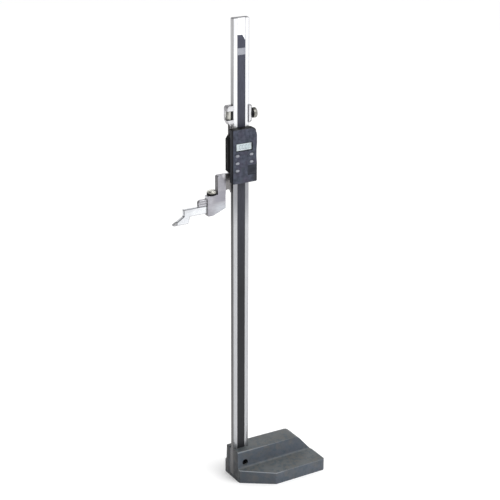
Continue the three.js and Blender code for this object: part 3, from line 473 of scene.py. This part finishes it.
def add_materials():
    for name, row in METALS.items():
        metal(name, *row)
    for name, row in PLASTICS.items():
        plastic(name, *row)
    cast_paint("base_paint", 0)
    # The base's rounded edges: the paint lifted by 40, a painted highlight
    cast_paint("base_edge_highlight", 40)
    column_face("column_front", low=(184, 185, 188), high=(248, 249, 252), band_shade=(146, 147, 152),
                rough=0.32, start=0.5, end=0.61, rims=column_rim_shades, rim=(148, 148, 150))
    # The column's sides: a darker copy of the ground steel, painted shade
    column_face("column_side_shade", low=(96, 95, 96), high=(208, 208, 210), band_shade=(66, 66, 68),
                rough=0.38, start=0.56, end=0.76)
    frame_front()
    holder_side()
    carriage_front()
    knob_crown_highlight()
    scale_film()
    housing_slate()
    clear_window()


COLLECTION = bpy.context.collection


def mesh_object(name, mesh_data):
    piece = bpy.data.objects.new(name, mesh_data)
    COLLECTION.objects.link(piece)
    return piece


# A prism to cut with, along one axis. The walls it leaves take its tone.
def prism(outline, axis, start, end, tone):
    def place(point, level):
        values = list(point)
        values.insert(axis, level)
        return values

    count = len(outline)
    points = [place(point, level) for level in (start, end) for point in outline]
    faces = [
        (step, (step + 1) % count, count + (step + 1) % count, count + step)
        for step in range(count)
    ]
    faces.append(tuple(reversed(range(count))))
    faces.append(tuple(range(count, 2 * count)))
    data = bpy.data.meshes.new("cutter")
    data.from_pydata(points, [], faces)
    solid = bmesh.new()
    solid.from_mesh(data)
    bmesh.ops.recalc_face_normals(solid, faces=solid.faces)
    for item in solid.faces:
        item.material_index = tone
    solid.to_mesh(data)
    solid.free()
    return data


# Cut a prism out of a piece, and remove the prism
def carve(piece, data):
    for material in piece.data.materials:
        data.materials.append(material)
    cutter = mesh_object("cutter", data)
    cut = piece.modifiers.new("cut", "BOOLEAN")
    cut.operation = "DIFFERENCE"
    cut.solver = "EXACT"
    cut.object = cutter
    evaluated = piece.evaluated_get(bpy.context.evaluated_depsgraph_get())
    carved = bpy.data.meshes.new_from_object(evaluated)
    piece.modifiers.clear()
    piece.data = carved
    bpy.data.objects.remove(cutter)
    bpy.data.meshes.remove(data)


# Corners closer than this are one corner, in metres. Faces within the flat angle of each other
# are one face, and edges past the sharp angle are shaded as edges, both in radians.
SAME_PLACE = 1e-6
FLAT = 0.01
SHARP = math.radians(32)


# A finished copy of a CAD node. The pick gives each face's tone, as its place in the list of
# tones. Edges sharper than the angle are rounded and take the last tone. A bevel of 0 leaves
# them. The bevel is in millimetres and the angle in degrees.
def finished(node, body, tones, bevel, angle=28, pick=None, segments=2, cutters=()):
    mesh_data = nodes[node].data.copy()
    mesh_data.name = node + "_finish"
    mesh_data.materials.clear()
    for name in tones:
        mesh_data.materials.append(MATERIALS[name])
    solid = bmesh.new()
    solid.from_mesh(mesh_data)
    bmesh.ops.remove_doubles(solid, verts=solid.verts, dist=SAME_PLACE)
    bmesh.ops.dissolve_limit(solid, angle_limit=FLAT, verts=solid.verts, edges=solid.edges)
    solid.normal_update()
    for item in solid.faces:
        item.material_index = pick(item) if pick else 0
    if bevel > 0:
        limit = math.radians(angle)
        bmesh.ops.bevel(
            solid,
            geom=[
                item for item in solid.edges
                if len(item.link_faces) == 2 and item.calc_face_angle(0) > limit
            ],
            offset=bevel * MM,
            offset_type="OFFSET",
            segments=segments,
            profile=0.5,
            affect="EDGES",
            clamp_overlap=True,
            material=len(tones) - 1,
        )
    bmesh.ops.triangulate(solid, faces=[item for item in solid.faces if len(item.verts) > 4])
    solid.to_mesh(mesh_data)
    solid.free()
    piece = mesh_object(node + "_finish", mesh_data)
    for cutter in cutters:
        carve(piece, cutter)
    piece.data.shade_smooth()
    piece.data.set_sharp_from_angle(angle=SHARP)
    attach(piece, body)
    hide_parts(node)


# A new look for a CAD node that keeps its own mesh
def paint(node, tone):
    for place in nodes[node].material_slots:
        place.material = MATERIALS[tone]


# How far a normal points along an axis before its face counts as facing that way
HALF = 0.5
MOSTLY = 0.6


# The rounded edges along the ridge's top take the lighter edge tone, a painted highlight
def base_pick(face):
    painted, highlit = range(2)
    ridge_low = 45 * MM
    least_up, most_up = 0.1, 0.99
    least_across = 0.15
    on_ridge = face.calc_center_median().z > ridge_low
    slanted = least_up < face.normal.z < most_up and abs(face.normal.y) > least_across
    return highlit if on_ridge and slanted else painted


# The column's ground front and back are brighter than its sides, whose darker tone is painted
# shade
def column_pick(face):
    ground, side, top = range(3)
    if face.normal.z > HALF:
        return top
    return ground if abs(face.normal.y) > HALF else side


# Faces that look along the base take a darker tone, painted shade, and the others are ground
def shoe_pick(face):
    ground, side_shade = range(2)
    return side_shade if abs(face.normal.x) > MOSTLY else ground


# The frame's web and column side lie deep behind the arm and take darker tones, painted shade
def frame_pick(face):
    front, side, web, holder = range(4)
    holder_right = -0.055
    web_left = -0.0285
    middle = face.calc_center_median()
    if abs(face.normal.x) > MOSTLY:
        return holder if middle.x < holder_right else side
    return web if middle.x > web_left and face.normal.y < -MOSTLY else front


# The front shell's walls are painted darker than its face, as shade
def front_shell_pick(face):
    front, wall = range(2)
    return front if face.normal.y < -MOSTLY else wall


# The rear shell is black plastic, plain black on top; its walls take a lighter copy, painted light
def rear_shell_pick(face):
    top, wall = range(2)
    return top if face.normal.z > HALF else wall


# The carriage is painted dark inside its window, round the nut, as shadow, and painted bright at
# the window's back, as light. Its sides and top are painted darker than its front, as shade.
def carriage_pick():
    front, side, top, shadow, bay = range(5)
    nut_low, nut_high = ends("fine_nut")
    outer = ends("fine_carriage")[0]
    right = ends("column")[0].x + 0.5 * MM

    def pick(face):
        middle = face.calc_center_median()
        level = nut_low.z - MM < middle.z < nut_high.z + MM
        inside = outer.x + 0.5 * MM < middle.x < right and middle.y > outer.y + 0.5 * MM
        if level and inside and face.normal.y < HALF:
            back = abs(face.normal.y) >= HALF and middle.x <= nut_high.x
            return bay if back else shadow
        if face.normal.z > MOSTLY:
            return top
        return side if abs(face.normal.x) > MOSTLY else front

    return pick


# One flank of each flute is painted darker as shade, on a rim that is turned about the axis.
# The end that faces down the axis can have a tone of its own; the lock screw's is painted shade.
def flute_pick(node, axis, low_end=0):
    bright, dark = range(2)
    low, high = ends(node)
    centre = (low + high) / 2

    def pick(face):
        if face.normal[axis] < -HALF:
            return low_end
        if face.normal[axis] > HALF:
            return bright
        out = face.calc_center_median() - centre
        out[axis] = 0
        side = out.cross(face.normal)[axis]
        return dark if side > 0.02 * out.length else bright

    return pick


# The clamp knob's crown takes the painted highlight tone, above its fluted rim
def knob_pick():
    crown_highlight = 2
    flutes = flute_pick("clamp_knob", 2)
    crown_low = ends("clamp_knob")[1].z - 2.3 * MM

    def pick(face):
        return crown_highlight if face.calc_center_median().z > crown_low else flutes(face)

    return pick


# Two curved notches in the clamp knob's crown, the first one open at its shoulder. Their walls
# take the darker flute tones, painted shade.
def knob_notches():
    low, high = ends("clamp_knob")
    middle = (low + high) / 2

    def spot(angle, reach):
        turn = math.radians(angle)
        x = middle.x + reach * MM * math.cos(turn)
        y = middle.y + reach * MM * math.sin(turn)
        return x, y

    # Angles in degrees, then radii and depth in millimetres, then the walls' tone, a painted shade
    notches = (
        (range(196, 244, 6), 5.9, 7.3, 2.2, 1),
        (range(-42, 24, 6), 3.4, 6.0, 2.0, 3),
    )
    cutters = []
    for arc, inner, outer, depth, tone in notches:
        outline = [spot(angle, outer) for angle in arc]
        outline += [spot(angle, inner) for angle in reversed(arc)]
        cutters.append(prism(outline, 2, high.z - depth * MM, high.z + MM, tone))
    return cutters


# Two grooves along the clamp shoe's front, their walls painted darker as shade
def shoe_grooves():
    levels = (0.50287, 0.50723)
    side_shade = 1
    depth = 0.3 * MM
    over = 0.5 * MM
    foot, mouth = 0.3 * MM, 0.9 * MM
    low, high = ends("clamp_shoe")
    cutters = []
    for z in levels:
        outline = [
            (low.y - over, z - mouth),
            (low.y - over, z + mouth),
            (low.y + depth, z + foot),
            (low.y + depth, z - foot),
        ]
        cutters.append(prism(outline, 0, low.x - MM, high.x + MM, side_shade))
    return cutters


# Rounded coils on the fine screw, inside its plain rod's size
def add_thread():
    low, high = ends("fine_screw")
    middle = (low + high) / 2
    crest = (high.x - low.x) / 2 * 0.99
    root = crest - 0.32 * MM
    pitch = 0.8 * MM
    margin = 0.3 * MM
    reach = high.z - low.z - 2 * margin
    count = 16
    rings_per_turn = 4
    rings = int(reach / pitch * rings_per_turn)
    points = []
    for ring in range(rings + 1):
        for step in range(count):
            angle = 2 * math.pi * step / count
            wave = 0.5 - 0.5 * math.cos(2 * math.pi * (ring / rings_per_turn - step / count))
            radius = root + (crest - root) * wave
            points.append((
                middle.x + radius * math.cos(angle),
                middle.y + radius * math.sin(angle),
                low.z + margin + reach * ring / rings,
            ))
    faces = [
        (
            ring * count + step,
            ring * count + (step + 1) % count,
            (ring + 1) * count + (step + 1) % count,
            (ring + 1) * count + step,
        )
        for ring in range(rings) for step in range(count)
    ]
    faces.append(tuple(reversed(range(count))))
    faces.append(tuple(range(rings * count, (rings + 1) * count)))
    data = bpy.data.meshes.new("fine_screw_thread")
    data.from_pydata(points, [], faces)
    data.materials.append(MATERIALS["screw_steel"])
    data.shade_smooth()
    data.set_sharp_from_angle(angle=math.radians(50))
    thread = mesh_object("fine_screw_thread", data)
    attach(thread, "slider")
    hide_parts("fine_screw")


# Four noughts and a point behind the window, from seven-segment bars
def add_figures():
    count = 4
    tall = 7.0 * MM
    wide = 3.7 * MM
    bar = 0.75 * MM
    gap = 0.2 * MM
    step = 5.3 * MM
    inset = 3.4 * MM
    thick = 0.03 * MM
    window_low, window_high = ends("display_window")
    plane = ends("display_panel")[0].y - 0.05 * MM
    foot = (window_low.z + window_high.z) / 2 - tall / 2
    quads = ((0, 1, 2, 3), (7, 6, 5, 4), (0, 4, 5, 1), (1, 5, 6, 2), (2, 6, 7, 3), (3, 7, 4, 0))
    points = []
    faces = []

    def block(x0, z0, x1, z1):
        start = len(points)
        for y in (plane, plane + thick):
            points.extend([(x0, y, z0), (x1, y, z0), (x1, y, z1), (x0, y, z1)])
        for quad in quads:
            faces.append(tuple(start + corner for corner in quad))

    last_left = window_high.x - inset - wide
    middle = foot + tall / 2
    for place in range(count):
        left = last_left - place * step
        right = left + wide
        for z in (foot, foot + tall - bar):
            block(left + bar / 2 + gap, z, right - bar / 2 - gap, z + bar)
        for x in (left, right - bar):
            block(x, foot + bar / 2 + gap, x + bar, middle - gap)
            block(x, middle + gap, x + bar, foot + tall - bar / 2 - gap)
    dot = last_left - step - (step - wide) / 2
    block(dot - bar / 2, foot - bar / 2, dot + bar / 2, foot + bar / 2)
    data = bpy.data.meshes.new("display_figures")
    data.from_pydata(points, [], faces)
    data.materials.append(MATERIALS["segment_ink"])
    figures = mesh_object("display_figures", data)
    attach(figures, "slider")


def dress_base():
    finished("base_casting", "base", ("base_paint", "base_edge_highlight", "base_edge_highlight"),
             bevel=1.3, angle=30, pick=base_pick, segments=3)
    finished("column", "base", ("column_front", "column_side_shade", "column_top", "column_edge_shade"),
             bevel=0.5, angle=40, pick=column_pick)
    finished("column_clamp_plate", "base", ("plate_steel", "plate_steel"),
             bevel=0.3)
    finished("column_clamp_screw", "base", ("dark_steel", "dark_steel"),
             bevel=0.2, angle=40)
    paint("scale_strip", "scale_film")
    paint("scale_label", "label_film")


def dress_slider():
    frame_tones = ("frame_front", "satin_side_shade", "satin_web_shade", "holder_side", "satin_edge_highlight")
    finished("slider_frame", "slider", frame_tones,
             bevel=0.5, angle=40, pick=frame_pick)
    finished("side_grip", "slider", ("black_plastic", "black_plastic"),
             bevel=0.6, angle=30)
    finished("scriber", "scriber", ("bright_steel", "bright_edge_shade"),
             bevel=0.8)
    finished("scriber_tip", "scriber", ("carbide", "carbide"), bevel=0.12)
    finished("clamp_shoe", "slider", ("satin_steel", "satin_side_shade", "satin_edge_highlight"),
             bevel=0.35, angle=40, pick=shoe_pick, cutters=shoe_grooves())
    knob_tones = ("nickel", "nickel_flute_shade", "knob_crown_highlight", "knurl_flute_shade", "nickel")
    finished("clamp_knob", "knob", knob_tones,
             bevel=0, pick=knob_pick(), cutters=knob_notches())
    finished("clamp_washer", "slider", ("dark_steel", "dark_steel"),
             bevel=0.15, angle=40)
    finished("slider_lock_screw", "slider_lock", ("nickel", "nickel_flute_shade", "nickel"),
             bevel=0, pick=flute_pick("slider_lock_screw", 0))
    for name in ("gib_screw_1", "gib_screw_2", "grip_screw_1", "grip_screw_2"):
        paint(name, "dark_steel")
    paint("gib_strip", "brass")
    add_thread()


def dress_housing():
    finished("housing_front", "slider", ("housing_slate", "housing_wall_shade", "housing_edge_highlight"),
             bevel=0.25, angle=34, pick=front_shell_pick)
    finished("housing_rear", "slider", ("black_plastic", "rear_wall_light", "black_plastic"),
             bevel=0.3, angle=34, pick=rear_shell_pick)
    finished("battery_lid", "lid", ("lid_plastic", "lid_plastic"),
             bevel=0.12, angle=34)
    for place in ("upper_left", "middle_left", "lower_left", "upper_right", "middle_right"):
        finished("button_" + place, "key_" + place, ("key_cap", "key_cap"),
                 bevel=0.3, angle=34, segments=3)
    for number in range(1, 5):
        paint(f"shell_screw_{number}", "nickel")
    paint("circuit_board", "solder_mask")
    paint("reading_head", "solder_mask")
    paint("display_window", "window_clear")
    paint("display_panel", "liquid_crystal")
    paint("display_connector", "rubber_dark")
    paint("key_mat", "rubber_dark")
    paint("battery", "bright_steel")
    paint("battery_contact_back", "brass")
    paint("battery_contact_side", "brass")
    add_figures()


def dress_carriage():
    carriage_tones = ("carriage_front", "carriage_side_shade", "carriage_top_shade", "shadow_steel",
                      "bay_painted_light", "carriage_edge_shade")
    finished("fine_carriage", "carriage", carriage_tones,
             bevel=0.75, angle=40, pick=carriage_pick())
    finished("fine_nut", "nut", ("nut_nickel", "nut_flute_shade", "nut_nickel"),
             bevel=0, pick=flute_pick("fine_nut", 2))
    # The lock screw head's inner face, towards the collar, is painted dark as shade
    finished("carriage_lock_screw", "carriage_lock",
             ("knurl", "knurl_flute_shade", "dark_steel", "knurl"),
             bevel=0, pick=flute_pick("carriage_lock_screw", 0, 2))
    finished("lock_collar", "carriage", ("dark_steel", "dark_steel"),
             bevel=0.25, angle=40)
    paint("lock_pad", "brass")


# A pale floor that glows faintly, so that it stays as pale as the photo's background
def add_floor():
    half = 12
    corners = [(-half, -half, 0), (half, -half, 0), (half, half, 0), (-half, half, 0)]
    data = bpy.data.meshes.new("floor")
    data.from_pydata(corners, [], [(0, 1, 2, 3)])
    floor = mesh_object("floor", data)
    shader = Shader("floor_white")
    shader.set("Roughness", 0.9)
    shader.set("Emission Color", (1, 1, 1, 1))
    shader.set("Emission Strength", 0.1)
    cloud = shader.spread(shader.noise(2, 2), 0, 1)
    tone = shader.mix(cloud, (0.955, 0.955, 0.955), (0.97, 0.97, 0.97))
    shader.link(tone, shader.shader.inputs["Base Color"])
    data.materials.append(shader.material)


# Light from all round, stronger towards +X
def add_world():
    dim, bright = 0.4, 1.38
    world = bpy.data.worlds.new("studio")
    world.use_nodes = True
    tree = world.node_tree
    background = tree.nodes["Background"]
    background.inputs["Color"].default_value = (1, 1, 1, 1)
    coords = tree.nodes.new("ShaderNodeTexCoord")
    parts = tree.nodes.new("ShaderNodeSeparateXYZ")
    ramp = tree.nodes.new("ShaderNodeMapRange")
    ramp.inputs["From Min"].default_value = -1
    ramp.inputs["From Max"].default_value = 1
    ramp.inputs["To Min"].default_value = dim
    ramp.inputs["To Max"].default_value = bright
    tree.links.new(coords.outputs["Generated"], parts.inputs["Vector"])
    tree.links.new(parts.outputs["X"], ramp.inputs["Value"])
    tree.links.new(ramp.outputs["Result"], background.inputs["Strength"])
    bpy.context.scene.world = world
    bpy.context.scene.view_settings.view_transform = "Standard"


# A soft square light, aimed at the column
def add_light(name, place, watts):
    target = Vector((0, 0, 0.4))
    data = bpy.data.lights.new(name, "AREA")
    data.shape = "SQUARE"
    data.size = 2.4
    data.energy = watts
    light = bpy.data.objects.new(name, data)
    light.location = place
    aim = target - Vector(place)
    light.rotation_euler = aim.to_track_quat("-Z", "Y").to_euler()
    COLLECTION.objects.link(light)


add_camera()
add_materials()
add_floor()
add_world()
add_light("key", (1.4, -2.4, 3.0), 64)
add_light("fill", (-2.6, -1.8, 2.4), 16)
dress_base()
dress_slider()
dress_housing()
dress_carriage()
